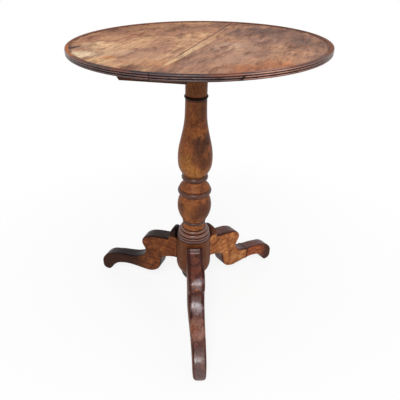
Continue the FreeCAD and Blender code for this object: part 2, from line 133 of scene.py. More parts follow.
class Wood:
    """Wood in one piece: growth rings round a pith, fibre streaks, pores and mottled colour."""

    def __init__(self, name, along, across, tones, pith_mm=(40, 160), ring_mm=9.0, streak_mm=(1.6, 60),
                 mottle_mm=45.0, ring_share=0.1, streak_share=0.35, pore_depth=0.35, contrast=0.14):
        self.material = bpy.data.materials.new(name)
        self.material.use_nodes = True
        self.tree = tree = self.material.node_tree
        self.shader = tree.nodes["Principled BSDF"]
        self.polished = []
        coords = put(tree, "TexCoord")
        self.point = coords.outputs["Object"]
        self.normal = coords.outputs["Normal"]
        ways = (across, along.cross(across), along)
        self.grain = put(tree, "CombineXYZ", dict(enumerate(self.reach(way) for way in ways)))
        pith = put(tree, "VectorMath", {0: self.grain, 1: Vector((*pith_mm, 0)) * MM}, operation="ADD")
        drawn = put(tree, "VectorMath", {0: pith, 1: Vector((1, 1, 1 / ring_stretch))}, operation="MULTIPLY")
        rings = put(tree, "TexWave", {"Vector": drawn, "Scale": math.pi / 10 * per(ring_mm),
                                      "Distortion": 6.0, "Detail": 3.0, "Detail Scale": 0.3,
                                      "Detail Roughness": 0.55},
                    wave_type="RINGS", rings_direction="Z", wave_profile="SIN")
        width, length = streak_mm
        self.streaks = self.patches(width, stretch=length / width, detail=4.0)
        self.pores = self.share(1.0, (self.patches(pore_mm, stretch=pore_stretch, detail=2.0), *pore_limits))
        self.mottle = self.patches(mottle_mm, detail=6.0)
        mottle_share = 1 - ring_share - streak_share
        weighed = 0.0
        for pattern, weight in ((rings.outputs["Fac"], ring_share), (self.streaks, streak_share),
                                (self.mottle, mottle_share)):
            weighed = put(tree, "Math", {0: pattern, 1: weight, 2: weighed}, operation="MULTIPLY_ADD")
        dark, middle, light = tones
        self.colour = put(tree, "ValToRGB", {"Fac": weighed},
                          stops=((0.5 - contrast, dark), (0.5, middle), (0.5 + contrast, light)))
        self.lay(dark, pore_depth, self.pores)

    def reach(self, way, start=0.0):
        """How far the wood lies along a way, counted from start."""
        along = put(self.tree, "VectorMath", {0: self.point, 1: way}, operation="DOT_PRODUCT")
        return put(self.tree, "Math", {0: along.outputs["Value"], 1: start}, operation="SUBTRACT")

    def apart(self, value, middle=0.0):
        """How far a value is from the middle, to either side."""
        off = put(self.tree, "Math", {0: value, 1: middle}, operation="SUBTRACT")
        return put(self.tree, "Math", {0: off}, operation="ABSOLUTE")

    def from_axis(self):
        """The distance from the column's axis."""
        flat = put(self.tree, "VectorMath", {0: self.point, 1: Vector((1, 1, 0))}, operation="MULTIPLY")
        return put(self.tree, "VectorMath", {0: flat}, operation="LENGTH").outputs["Value"]

    def patches(self, size_mm, stretch=1.0, detail=5.0, roughness=0.6):
        """Uneven patches of about size_mm, drawn out along the grain."""
        drawn = put(self.tree, "VectorMath", {0: self.grain, 1: Vector((1, 1, 1 / stretch))},
                    operation="MULTIPLY")
        return put(self.tree, "TexNoise", {"Vector": drawn, "Scale": per(size_mm), "Detail": detail,
                                           "Roughness": roughness, "Distortion": 0.3})

    def share(self, strength, *zones):
        """The strength where all zones overlap.

        A zone is a share, or a value with where it starts and where it is full.
        """
        for zone in zones:
            if isinstance(zone, tuple):
                value, start, full = zone
                zone = put(self.tree, "MapRange", {"Value": value, "From Min": start, "From Max": full},
                           interpolation_type="SMOOTHSTEP")
            strength = put(self.tree, "Math", {0: zone, 1: strength}, operation="MULTIPLY")
        return strength

    def lay(self, colour, strength, *zones, blend="MIX"):
        """Lays a colour over the wood where all zones overlap."""
        self.colour = put(self.tree, "MixRGB", {"Fac": self.share(strength, *zones), "Color1": self.colour,
                                                "Color2": paint(colour)}, blend_type=blend)

    def blotch(self, size_mm, low, high, colour, strength, stretch=1.0, where=1.0, blend="MIX"):
        """Lays a colour over the wood in patches of about size_mm."""
        self.lay(colour, strength, (self.patches(size_mm, stretch), low, high), where, blend=blend)

    def figure(self, size_mm, strength, stretch=1.0, where=1.0):
        """Darkens and lightens the wood in fine patches, whatever its colour there."""
        finer_mm = size_mm * figure_finer
        self.blotch(size_mm, *figure_limits, figure_shade, strength, stretch, where, blend="MULTIPLY")
        self.blotch(finer_mm, *figure_limits, figure_light, strength, stretch, where, blend="DODGE")

    def stain(self, place_mm, size_mm, colour, strength, ragged, where=1.0):
        """Lays a stain with a ragged edge round one place."""
        size = size_mm * MM
        away = put(self.tree, "VectorMath", {0: self.point, 1: Vector(place_mm) * MM}, operation="DISTANCE")
        near = put(self.tree, "Math", {0: ragged, 1: -stain_fray * size, 2: away.outputs["Value"]},
                   operation="MULTIPLY_ADD")
        self.lay(colour, strength, (near, 0.0, -stain_fade * size), where)

    def finish(self, rough=(0.32, 0.55), fibre_mm=0.12, specular=0.3, hollows=None):
        """Roughness from the mottled wax, and relief from the fibres and the shallow hollows of hand work."""
        tree = self.tree
        waxed, dry = rough
        shine = put(tree, "MapRange", {"Value": self.mottle, "From Min": 0.35, "From Max": 0.65,
                                       "To Min": waxed, "To Max": dry})
        shine = put(tree, "Math", {0: self.pores, 1: pore_roughness, 2: shine}, operation="MULTIPLY_ADD")
        for mask, value in self.polished:
            shine = put(tree, "Mix", {0: mask, 2: shine, 3: value})
        fibres = put(tree, "Math", {0: self.streaks, 1: self.pores}, operation="SUBTRACT")
        bump = put(tree, "Bump", {"Height": fibres, "Distance": fibre_mm * MM, "Strength": 0.6})
        if hollows:
            size_mm, depth_mm = hollows
            bump = put(tree, "Bump", {"Height": self.patches(size_mm, stretch=1.6, detail=2.0),
                                      "Distance": depth_mm * MM, "Strength": 1.0, "Normal": bump})
        for key, node in (("Base Color", self.colour), ("Roughness", shine), ("Normal", bump)):
            tree.links.new(node.outputs[0], self.shader.inputs[key])
        self.shader.inputs["IOR"].default_value = 1.5
        self.shader.inputs["Specular IOR Level"].default_value = specular
        return self.material


# Waxed walnut of the top: planed boards with a fine straight grain, rubbed pale and stained in soft patches.
# Stains: place on the top in mm, size in mm, colour, strength.
top_stains = (
    (-150, 165, 80, "7f5542", 0.6), (-32, 195, 80, "7a523d", 0.6), (90, 215, 70, "6f4b3e", 0.65),
    (-228, -112, 44, "ecd0aa", 0.9), (-205, -28, 50, "e4be95", 0.9), (-178, -75, 50, "dcb48d", 0.65),
    (-187, -160, 40, "deb384", 0.85), (-160, -95, 46, "d2a782", 0.5), (-105, -130, 60, "b98c6d", 0.6),
    (-172, -140, 16, "c07a45", 0.7), (-80, -195, 44, "b3774c", 0.6), (-128, -222, 30, "74462c", 0.75),
    (5, 70, 34, "d4a67e", 0.7), (0, -150, 56, "ae8064", 0.5), (60, -240, 40, "ad6637", 0.8),
    (125, -222, 46, "ae6a3d", 0.75), (150, -165, 44, "bd8862", 0.6), (70, -60, 64, "c39c82", 0.8),
    (140, 0, 56, "a07968", 0.6), (60, -150, 60, "bc9074", 0.6), (204, 55, 80, "7d5a4e", 0.7),
    (163, 118, 56, "57392e", 0.7), (232, -40, 60, "76513f", 0.7), (220, 125, 50, "775245", 0.65),
)
strip_stains = (
    (70, 150, 70, "9d7054", 0.75), (100, 240, 70, "805844", 0.85), (-30, -120, 60, "c49a78", 0.6),
)
# The open split by the left rim, dark with dirt: its two ends, its half width at the rim and how it wanders
split_rim = Vector((-271, -51, 0)) * MM
split_tip = Vector((-224, -12, 0)) * MM
split_half_width = 5.5 * MM
split_wander = 5.0 * MM
# The pale streak in the strip: where along the boards it fades in and out, and how ragged it ends
streak_in = (-228 * MM, -206 * MM)
streak_out = (110 * MM, -20 * MM)
streak_fray = 120 * MM
# Where along the boards the dirt in the joints starts, and the wear in front of them
joint_dirt_from = (-200 * MM, -120 * MM)
front_wear_from = (-218 * MM, -238 * MM)

# Patches of colour on the lip, one of them a painted pink highlight (at 112, -250): place in mm, size in mm,
# colour, strength
lip_patches_and_highlight = (
    (-266, -76, 90, "a8602f", 0.9), (-190, -200, 60, "43302d", 0.85), (-90, -262, 90, "33262b", 1.0),
    (-20, -272, 50, "3a2a2d", 0.85), (34, -270, 40, "85492f", 0.8), (72, -264, 26, "4a363a", 0.85),
    (112, -250, 50, "9a7064", 0.8), (190, -200, 80, "5b352b", 0.7), (-210, 180, 90, "7d4a33", 0.6),
    (255, 110, 90, "46291f", 0.7),
)


def lay_lip(wood):
    """The raised lip, darkened and reddened in long stretches, with a painted pink highlight at the front
    right.
    """
    lip = wood.share(1.0, (wood.from_axis(), lip_inner - 1.6 * MM, lip_inner - 0.4 * MM))
    wood.lay("73422d", 1.0, lip)
    ragged = wood.patches(40, roughness=0.65)
    # Stains, and one painted highlight
    for x, y, size, colour, strength in lip_patches_and_highlight:
        wood.stain((x, y, lip_height / MM), size, colour, strength, ragged, lip)


def lay_split(wood):
    """The dirt in the split, which narrows to its tip and wanders a little."""
    way = (split_tip - split_rim).normalized()
    sideways = way.cross(UP)
    taper = split_half_width / (split_tip - split_rim).length
    beside = put(wood.tree, "Math", {0: wood.patches(7, roughness=0.65), 1: split_wander,
                                     2: wood.reach(sideways, sideways.dot(split_tip) + split_wander / 2)},
                 operation="MULTIPLY_ADD")
    half_width = wood.reach(-taper * way, -taper * way.dot(split_tip))
    inside = put(wood.tree, "Math", {0: half_width, 1: wood.apart(beside)}, operation="SUBTRACT")
    wood.lay("2f2320", 0.95, (inside, -0.6 * MM, 0.8 * MM))


def board_finish(name, tones, pith_mm, colour_marks, streak=None):
    wood = Wood(name, board_along, board_across, tones, pith_mm=pith_mm, ring_mm=16.0, streak_mm=(2.6, 26),
                mottle_mm=70.0, ring_share=0.05, streak_share=0.2, pore_depth=0.3, contrast=0.14)
    ragged = wood.patches(40, stretch=2.2, roughness=0.74)
    for x, y, size, colour, strength in colour_marks:
        wood.stain((x, y, dish_height / MM), size, colour, strength, ragged)
    along = wood.reach(board_along)
    off_joint = wood.apart(wood.reach(board_across - joint_slope * board_along), joint_middle)
    off_strip = wood.apart(wood.reach(board_across - strip_slope * board_along), strip_middle)
    if streak:
        worn_along = put(wood.tree, "Math", {0: ragged, 1: streak_fray, 2: along}, operation="MULTIPLY_ADD")
        wood.lay("e6c094", streak, (along, *streak_in), (worn_along, *streak_out))
    wood.figure(20.0, 0.75, stretch=3.0)
    wood.figure(9.0, 0.5, stretch=5.0)
    wood.figure(4.0, 0.45, stretch=6.0)
    wood.blotch(7.0, 0.62, 0.7, "4b2f25", 0.45, stretch=2.5)
    wood.lay("5f3825", 0.5, (along, *front_wear_from), (off_joint, 16 * MM, 2 * MM))
    lay_split(wood)
    for off, width_mm, strength in ((off_joint, 1.9, 0.95), (off_strip, 1.5, 0.4)):
        width = width_mm * MM
        wood.lay("3c2117", strength, (off, width, 0.4 * width), (along, *joint_dirt_from))
    # Painted shade, with dirt, in the corner where the dish meets the lip, darkening the dish along its edge
    lip_foot_shade = (wood.from_axis(), dish_edge - 5 * MM, dish_edge - 0.5 * MM)
    wood.lay("3d2620", 0.8, lip_foot_shade, (wood.patches(26, roughness=0.65), 0.36, 0.5))
    lay_lip(wood)
    below = wood.share(1.0, (wood.reach(UP), rim_bottom + 0.2 * MM, rim_bottom - 0.4 * MM))
    wood.lay("5f4230", 1.0, below)
    wood.blotch(45.0, 0.46, 0.64, "463024", 0.5, stretch=3.0, where=below)
    wood.figure(9.0, 0.6, stretch=9.0, where=below)
    wood.blotch(3.0, 0.53, 0.66, "33211a", 0.55, stretch=18, where=below)
    return wood.finish(rough=(0.5, 0.68), fibre_mm=0.2, specular=0.1)


board_finishes = {
    "top_board_left": board_finish("waxed_walnut_left", ("7f5339", "b07e5f", "d2a881"), (60, 150),
                                   top_stains),
    "top_board_right": board_finish("waxed_walnut_right", ("714a38", "a2755c", "c09373"), (120, 190),
                                    top_stains),
    "top_strip": board_finish("pale_walnut_strip", ("96694c", "bc8b69", "d0a57f"), (-30, 120), strip_stains,
                              streak=0.7),
}


# Polished walnut of the reeds: dark brown, redder to the right, with painted highlights along the crests,
# grey and pink towards the front right, painted shade in the grooves, and near-black in the chip. Chip marks:
# place and size in mm.
redder_from = (10 * MM, 110 * MM)
pink_highlight_until = (215 * MM, 90 * MM)
chip_marks = ((51, -275.3, 721.8, 4.5), (54, -274.7, 724.3, 4.5), (57, -274.1, 727.2, 4.0))


def reed_finish():
    wood = Wood("polished_walnut_reeds", board_along, board_across, ("4a2a1f", "6d3f2b", "8a5236"),
                ring_mm=14.0, mottle_mm=30.0, streak_mm=(2.2, 40))
    lay_lip(wood)
    patchy = wood.patches(24, roughness=0.65)
    lower = wood.share(1.0, (wood.reach(UP), rim_bottom + 2.2 * reed_pitch, rim_bottom + 1.95 * reed_pitch))
    to_right = wood.share(1.0, (wood.reach(RIGHT), *redder_from))
    wood.lay("30201e", 1.0, lower)
    wood.lay("643a2c", 0.85, lower, to_right)
    wood.lay("6a4033", 0.7, lower, (patchy, 0.5, 0.66))
    up_reed = put(wood.tree, "Math", {0: wood.reach(UP / reed_pitch, rim_bottom / reed_pitch)},
                  operation="FRACT")
    crest_highlight = (wood.apart(up_reed, 0.62), 0.24, 0.08)
    groove = (wood.apart(up_reed, 0.5), 0.27, 0.4)
    # Painted highlights along the crests of the reeds: grey, and pink towards the front right
    rubbed_and_highlit = wood.share(1.0, crest_highlight, (patchy, 0.22, 0.5))
    wood.lay("77605e", 0.55, rubbed_and_highlit)
    wood.lay("c09280", 0.8, rubbed_and_highlit, to_right, (wood.reach(RIGHT), *pink_highlight_until))
    # Painted shade, near-black, in the grooves between the reeds
    wood.lay("0f0908", 0.95, groove)
    wood.polished.append((wood.share(1.0, (patchy, 0.6, 0.45)), 0.22))
    for x, y, up, size in chip_marks:
        wood.stain((x, y, up), size, "0a0606", 1.0, patchy)
    return wood.finish(rough=(0.3, 0.45), fibre_mm=0.06, specular=0.2)


reed_polish = reed_finish()

# Turned walnut of the column: waxed golden brown and blotched with old stain. The beads and the collar are
# polished purple-brown, and the ring near the top is blacked and dull.
# Bands: middle height and half height in mm, colour, strength. The near-black bands with a half height of 2
# mm or less are painted shade in the grooves between the mouldings; the one at 606 mm is a painted shadow
# under the black ring.
# Stains: place and size in mm, colour, strength. The small pale one at 376 mm is a painted highlight on the
# fillet above the second bead.
# Painted shade down the neck, under the top: where it starts and where it is full
painted_shade_from = (585 * MM, 630 * MM)
band_wander = 1.0 * MM
band_soft = 0.5 * MM
bead_heights = ((396, 409.5), (356, 371), (266, 275))
collar_heights = ((217, 249.5),)
black_ring_heights = ((607, 616.5),)
column_bands_and_groove_shade = (
    (611.5, 3.6, "150c09", 0.97), (606, 2.0, "33201a", 0.6), (410.3, 1.3, "22130f", 0.9),
    (402.5, 6.2, "3e231d", 0.9), (395, 1.6, "2a1714", 0.8), (371.5, 1.5, "22120f", 0.9),
    (363, 6.6, "472a22", 0.9), (355.6, 1.6, "25140f", 0.85), (275.3, 1.2, "1f1211", 0.9),
    (270, 4.0, "3c2a2b", 0.9), (265, 1.2, "25150f", 0.85), (249.4, 1.0, "2a1713", 0.8),
    (244.8, 4.0, "6b4437", 0.75), (240.4, 0.9, "24130f", 0.85), (235, 5.2, "684238", 0.8),
    (229.3, 0.9, "20110e", 0.85), (226.2, 2.8, "664339", 0.85), (223.2, 0.8, "20110e", 0.85),
    (220, 2.8, "5a3b35", 0.85), (216.4, 1.1, "1d100d", 0.9), (160, 56, "4a2512", 0.7),
    (335, 54, "55301f", 0.22),
)
column_stains_and_glint = (
    (14, -40, 502, 34, "38201b", 0.85), (36, -24, 512, 26, "40251a", 0.75),
    (6, -43, 465, 30, "54321f", 0.6), (26, -36, 455, 26, "4c2a19", 0.7), (38, -20, 470, 30, "5a3019", 0.6),
    (-28, -30, 455, 34, "96622f", 0.7), (-16, -40, 430, 30, "a06a35", 0.7),
    (2, -43, 422, 24, "9c6632", 0.6), (16, -25, 590, 26, "4a2b1a", 0.6), (-20, -40, 512, 12, "4d2c1b", 0.6),
    (-24, -36, 318, 26, "8f5a2c", 0.6), (20, -40, 310, 30, "4e2c1d", 0.65),
    (-40, -18, 325, 22, "5e3621", 0.55), (0, -44, 300, 18, "4a2a1c", 0.5), (8, -45, 326, 24, "5c3522", 0.6),
    (36, -26, 318, 34, "542f1e", 0.7), (-36, -26, 330, 9, "4a2717", 0.7), (-26, -34, 500, 8, "562a17", 0.7),
    (-34, -24, 506, 7, "562a17", 0.7), (-22, -36, 522, 8, "5a2d18", 0.6), (22, -36, 386, 15, "5a3020", 0.6),
    (10, -44, 376, 6, "b08a72", 0.55), (-16, -36, 388, 8, "a06a42", 0.5), (-8, -46, 345, 10, "a06a3e", 0.5),
    (-30, -33, 352, 8, "a8734a", 0.5), (18, -43, 350, 9, "6a3a26", 0.55), (30, -35, 336, 8, "6b3a24", 0.6),
    (-14, -44, 322, 9, "66371f", 0.5), (-38, -23, 344, 10, "8e4f32", 0.5), (8, -44, 520, 7, "8d5a38", 0.5),
    (30, -30, 440, 10, "8a4e2a", 0.6), (18, -38, 430, 7, "9a5c30", 0.5),
)


def column_finish(name, rough, specular):
    wood = Wood(name, UP, RIGHT, ("6d3d21", "93562f", "a96838"), pith_mm=(14, 30), ring_mm=14.0,
                streak_mm=(1.8, 20), mottle_mm=42.0, ring_share=0.05, streak_share=0.22, contrast=0.16)
    height = wood.reach(UP)
    ragged = wood.patches(24, stretch=1.4, roughness=0.68)
    wood.blotch(34.0, 0.5, 0.68, "5c351b", 0.4, stretch=1.5)
    # Stains, and one painted highlight on the fillet above the second bead
    for x, y, z, size, colour, strength in column_stains_and_glint:
        wood.stain((x, y, z), size, colour, strength, ragged)
    wood.figure(12.0, 0.45, stretch=1.5)
    wood.figure(4.5, 0.5, stretch=1.3)
    wood.blotch(3.6, 0.57, 0.65, "3a1d11", 0.7, stretch=1.4)
    wood.blotch(6.0, 0.59, 0.67, "331a11", 0.7, stretch=1.3)
    # Painted shade on the neck, under the top
    wood.lay("3c2011", 0.45, (height, *painted_shade_from))
    uneven = put(wood.tree, "Math", {0: wood.patches(14, detail=3.0), 1: band_wander, 2: height},
                 operation="MULTIPLY_ADD")
    # Bead colours, and painted shade in the grooves and under the black ring
    for middle, half, colour, strength in column_bands_and_groove_shade:
        off_middle = wood.apart(uneven, middle * MM + band_wander / 2)
        wood.lay(colour, strength, (off_middle, half * MM + band_soft, half * MM - band_soft))
    return wood.finish(rough=rough, fibre_mm=0.08, specular=specular, hollows=(22, 0.2))


finishes["turned_walnut"] = column_finish("turned_walnut", (0.38, 0.55), 0.13)
column_parts = (
    (bead_heights, column_finish("polished_walnut_beads", (0.2, 0.28), 0.3)),
    (collar_heights, column_finish("polished_walnut_collar", (0.18, 0.27), 0.55)),
    (black_ring_heights, column_finish("blacked_walnut_ring", (0.5, 0.6), 0.06)),
)


# Walnut of the legs: sawn and rasped to shape and waxed by hand. The flanks are mottled, and the rounded
# tops are near-black with old polish, rubbed through to red brown in places.
top_roughness = {"front": 0.24, "right": 0.34, "left": 0.34}
top_fray = 0.35
foot_fray = 50 * MM
dark_edge = (11 * MM, 16.5 * MM)
ear_from = (ear_height, ear_height + 5 * MM)
ear_out = (82 * MM, 72 * MM)
scarf_line = (3.0 * MM, 1.6 * MM)


def leg_finish(name, specular, leg, tones, polish, rubbed_and_highlit, ear, foot=None, colour_marks=(), edge=None):
    out_way = leg_out[leg]
    side_way = leg_side[leg]
    wood = Wood(name, out_way, UP, tones, pith_mm=(-60, 25), ring_mm=15.0, streak_mm=(1.8, 22),
                mottle_mm=18.0, ring_share=0.05, streak_share=0.22, contrast=0.15)
    tree = wood.tree
    wood.figure(16.0, 0.75, stretch=1.6)
    wood.figure(5.5, 0.7, stretch=1.8)
    wood.blotch(4.0, 0.58, 0.68, "3b2013", 0.45, stretch=1.3)
    ragged = wood.patches(22, roughness=0.65)
    out = wood.reach(out_way)
    if foot:
        start, end, colour, strength = foot
        worn_out = put(tree, "Math", {0: ragged, 1: -foot_fray, 2: out}, operation="MULTIPLY_ADD")
        wood.lay(colour, strength, (worn_out, start * MM - foot_fray / 2, end * MM - foot_fray / 2))
    facing = put(tree, "VectorMath", {0: wood.normal, 1: side_way}, operation="DOT_PRODUCT").outputs["Value"]
    turned = put(tree, "Math", {0: wood.patches(12), 1: top_fray, 2: wood.apart(facing)},
                 operation="MULTIPLY_ADD")
    top = wood.share(1.0, (turned, 1.02, 0.78))
    wood.lay(polish, 0.96, top)
    wood.lay(rubbed_and_highlit, 0.75, top, (wood.patches(22, stretch=2.2, roughness=0.68), 0.5, 0.64))
    wood.blotch(3.0, 0.56, 0.7, "1c1112", 0.5, stretch=6, where=top)
    if edge:
        wood.lay("2b1613", edge, top, (wood.apart(wood.reach(side_way)), *dark_edge))
    wood.lay(ear, 0.9, (wood.reach(UP), *ear_from), (out, *ear_out))
    # Stains, and on the front leg and the splice some painted highlights and shade
    for along, across, up, size, colour, strength in colour_marks:
        wood.stain(out_way * along + side_way * across + UP * up, size, colour, strength, ragged)
    wood.figure(8.0, 0.7, stretch=1.8, where=top)
    wood.figure(3.0, 0.7, stretch=2.5, where=top)
    if leg == "right":
        scarf_foot = scarf_radius - scarf_slope * scarf_height
        off_scarf = wood.apart(wood.reach(out_way - scarf_slope * UP), scarf_foot)
        wood.lay("1d100a", 1.0, (off_scarf, *scarf_line))
    wood.polished.append((top, top_roughness[leg]))
    return wood.finish(rough=(0.4, 0.58), fibre_mm=0.12, specular=specular, hollows=(14, 0.35))


# For each leg: tones of the flanks, polish, rubbed places and the ear, the dark foot (from and to in mm,
# colour, strength), colour marks, which are stains and, where noted, painted highlights and shade (out along
# the leg, across it, height and size in mm, colour, strength) and how dark its edges are
leg_looks = {
    "leg_left": dict(
        leg="left", tones=("4c2a18", "754226", "8d5630"), polish="1f1414", rubbed_and_highlit="37201b", ear="1d1314",
        foot=(110, 205, "2f1c15", 0.92)),
    "leg_right": dict(
        leg="right", tones=("733f1f", "a2643a", "c68b55"), polish="4a2823", rubbed_and_highlit="7a3f2e", ear="4a281d",
        colour_marks=((140, -18, 90, 16, "bf8a54", 0.5), (168, -18, 70, 14, "c69560", 0.5)), edge=0.3),
    "right_foot_splice": dict(
        leg="right", tones=("6d361e", "9a5230", "b4693c"), polish="573330", rubbed_and_highlit="8c4a36", ear="4a281d",
        # Its near-black mark, low on the inside of the toe's hook, is painted shade
        foot=(258, 292, "3a211a", 0.92), colour_marks=((280, -8, 10, 14, "1a0f0b", 0.9),), edge=0.3),
    "leg_front": dict(
        leg="front", tones=("4a281d", "69402f", "85553f"), polish="55332e", rubbed_and_highlit="80493a", ear="3a201b",
        colour_marks=((118, -4, 187, 14, "84452f", 0.5), (160, 0, 157, 6, "a0562f", 0.75),
                # The two blue-grey marks, at 99 and 174 mm up, are painted highlights
                (168, 3, 99, 22, "a0949a", 0.6), (148, 4, 174, 15, "96868a", 0.6),
                (205, 0, 86, 26, "a07465", 0.6), (236, 2, 81, 28, "aa7f70", 0.65),
                (222, -8, 83, 14, "8a4c35", 0.6), (308, 0, 36, 18, "4a3434", 0.6)), edge=0.6),
}
flank_gloss = 0.06
polish_gloss = {"leg_left": 0.1, "leg_right": 0.16, "right_foot_splice": 0.18, "leg_front": 0.65}
leg_finishes = {}
for name, look in leg_looks.items():
    leg_finishes[name] = (leg_finish("sawn_walnut_" + name, flank_gloss, **look),
                          leg_finish("polished_walnut_" + name, polish_gloss[name], **look))


# Pendant: turned walnut under dark stain and dust
def pendant_finish():
    wood = Wood("dark_walnut", UP, RIGHT, ("1c1413", "2e2120", "43302b"), ring_mm=9.0, mottle_mm=18.0)
    wood.blotch(12.0, 0.55, 0.7, "54413c", 0.4)
    return wood.finish(rough=(0.4, 0.6), fibre_mm=0.15)


finishes["dark_walnut"] = pendant_finish()


# Bare walnut under the top: planed once and never waxed, grey-brown with age
def bare_finish(name, tones):
    wood = Wood(name, board_across, board_along, tones, ring_mm=14.0, mottle_mm=30.0, pore_depth=0.5)
    wood.blotch(40.0, 0.5, 0.7, "35221a", 0.5)
    wood.blotch(4.0, 0.58, 0.7, "2b1a13", 0.5, stretch=12)
    return wood.finish(rough=(0.62, 0.82), fibre_mm=0.3, specular=0.2)


finishes["bare_walnut"] = bare_finish("bare_walnut", ("3f2719", "65402a", "84583a"))
cleat_brown = bare_finish("brown_walnut_cleat", ("2c180e", "4a2815", "5f371f"))


# Split ash: riven pegs and wedges, pale and dry
def ash_finish():
    wood = Wood("split_ash", UP, RIGHT, ("a88a5c", "c8ad7e", "dcc79c"), ring_mm=3.5, mottle_mm=20.0,
                ring_share=0.3)
    return wood.finish(rough=(0.6, 0.8), fibre_mm=0.25, specular=0.2)


finishes["split_ash"] = ash_finish()


# Metals: brass gone brown where fingers don't reach, and black iron with a thin rust
def metal_finish(name, clean, tarnish, spot, rough):
    material = bpy.data.materials.new(name)
    material.use_nodes = True
    tree = material.node_tree
    shader = tree.nodes["Principled BSDF"]
    point = put(tree, "TexCoord").outputs["Object"]
    film = put(tree, "TexNoise", {"Vector": point, "Scale": per(9), "Detail": 6.0, "Roughness": 0.65})
    specks = put(tree, "TexNoise", {"Vector": point, "Scale": per(1.4), "Detail": 3.0})
    colour = put(tree, "ValToRGB", {"Fac": film}, stops=((0.35, tarnish), (0.62, clean)))
    speckled = put(tree, "MapRange", {"Value": specks, "From Min": 0.56, "From Max": 0.68, "To Max": 0.7})
    colour = put(tree, "MixRGB", {"Fac": speckled, "Color1": colour, "Color2": paint(spot)})
    shine = put(tree, "MapRange", {"Value": film, "From Min": 0.3, "From Max": 0.7, "To Min": rough[1],
                                   "To Max": rough[0]})
    bump = put(tree, "Bump", {"Height": specks, "Distance": 0.08 * MM, "Strength": 0.5})
    for key, node in (("Base Color", colour), ("Roughness", shine), ("Normal", bump)):
        tree.links.new(node.outputs[0], shader.inputs[key])
    shader.inputs["Metallic"].default_value = 1.0
    return material


finishes["aged_brass"] = metal_finish("aged_brass", "b08d4a", "6b5230", "4a3a24", (0.28, 0.5))
finishes["brass_screws"] = metal_finish("brass_screws", "a58548", "5c472a", "3c3020", (0.32, 0.55))
finishes["forged_iron"] = metal_finish("forged_iron", "4a4541", "2c2725", "5a3a28", (0.45, 0.7))


# Worn shapes: each is a copy of its node, and replaces it
weld_mm = 0.005
board_ease_mm = 0.4
bar_ease_mm = 0.9
eased_sharp_from = 40
turned_sharp_from = 35


def copy_of(name):
    mesh = nodes[name].data.copy()
    for attribute in [a for a in mesh.attributes if a.name in ("custom_normal", "sharp_edge", "sharp_face")]:
        mesh.attributes.remove(attribute)
    piece = bpy.data.objects.new(name + "_worn", mesh)
    scene.collection.objects.link(piece)
    bm = bmesh.new()
    bm.from_mesh(mesh)
    bmesh.ops.remove_doubles(bm, verts=bm.verts, dist=weld_mm * MM)
    bm.to_mesh(mesh)
    bm.free()
    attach(piece, body_of[name])
    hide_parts(name)
    return piece


def take_modifiers(piece):
    """Puts the outcome of the modifiers into the mesh."""
    view = bpy.context.evaluated_depsgraph_get()
    mesh = bpy.data.meshes.new_from_object(piece.evaluated_get(view))
    piece.modifiers.clear()
    piece.data = mesh


def shade(piece, sharp_from):
    piece.data.shade_smooth()
    piece.data.set_sharp_from_angle(angle=math.radians(sharp_from))


def eased(piece, ease_mm, sharp_from=35.0, flat_within=0.2):
    """Breaks the outer edges with a small round."""
    bm = bmesh.new()
    bm.from_mesh(piece.data)
    bmesh.ops.dissolve_limit(bm, angle_limit=math.radians(flat_within), verts=bm.verts, edges=bm.edges)
    outer = [edge for edge in bm.edges if edge.is_manifold and edge.is_convex]
    sharp = [edge for edge in outer if edge.calc_face_angle(0) > math.radians(sharp_from)]
    bmesh.ops.bevel(bm, geom=sharp, offset=ease_mm * MM, segments=2, profile=0.5, affect="EDGES",
                    clamp_overlap=True, offset_type="OFFSET")
    bm.to_mesh(piece.data)
    bm.free()
    shade(piece, eased_sharp_from)


def ramp_of(values, start, end):
    """0 before start, 1 after end and smooth between them."""
    share = np.clip((values - start) / (end - start), 0, 1)
    return share * share * (3 - 2 * share)


# How the legs are rubbed: what the barrel, ear, scarf and toes hold back, and how the front sole is worn
rub_passes = 46
rub_step = 0.5
barrel_hold = 7 * MM
ear_hold = 6 * MM
scarf_hold = (0.5 * MM, 5 * MM)
toe_out = (255 * MM, 280 * MM)
toe_hold = {"front": 0.5, "right": 0.85, "left": 0.85}
front_ear_hold = 0.55
front_ear_out = (76 * MM, 62 * MM)
sole_height = 13 * MM
sole_out = (275 * MM, 295 * MM)
sole_wear = 0.35


